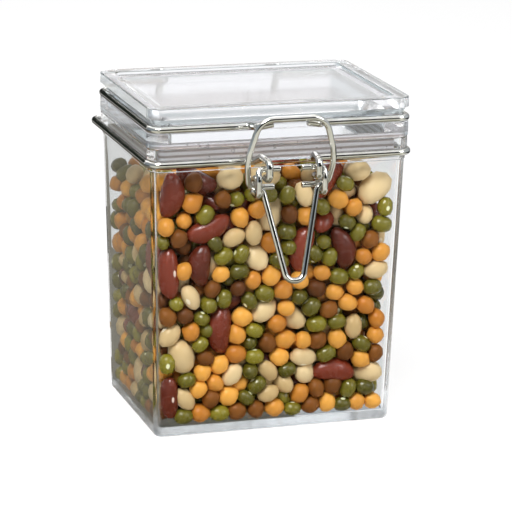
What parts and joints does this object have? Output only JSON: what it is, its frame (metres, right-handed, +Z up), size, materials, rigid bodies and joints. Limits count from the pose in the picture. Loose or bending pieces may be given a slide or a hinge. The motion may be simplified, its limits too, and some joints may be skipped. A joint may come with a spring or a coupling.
{
  "type": "lidded glass canister",
  "caption": "Oblong clear glass storage canister with a hinged glass lid, a seal between them, and a wire bail latch with a swing lever at the front.",
  "frame": {"origin": "centre of the jar's flat base, on the surface that it stands on", "axes": "+Z up, -Y towards the latch at the front, +X to the right as seen from the front"},
  "size_m": [0.104, 0.1082, 0.1275],
  "materials": {
    "glass": "clear, polished",
    "seal": "translucent silicone, satin",
    "wire": "bright polished steel wire"
  },
  "bodies": {
    "canister": {"jar": "glass", "neck_band": "wire"},
    "lid": {"lid": "glass", "gasket": "seal", "lid_band": "wire"},
    "lever": {"lever": "wire"},
    "bail": {"bail": "wire"}
  },
  "joints": [
    {"name": "lid_hinge", "type": "hinge", "parent": "canister", "child": "lid", "pos_m": [0, 0.0469, 0.10645], "axis": [-1, 0, 0], "range_deg": [0, 190]},
    {"name": "latch_lever", "type": "hinge", "parent": "canister", "child": "lever", "pos_m": [0, -0.0489, 0.1055], "axis": [-1, 0, 0], "range_deg": [0, 120]},
    {"name": "bail_swing", "type": "hinge", "parent": "lever", "child": "bail", "pos_m": [0, -0.0456, 0.098], "axis": [-1, 0, 0], "range_deg": [-132, 0]}
  ],
  "couplings": [
    {"joint": "bail_swing", "follows": "latch_lever", "ratio": -1.1}
  ]
}
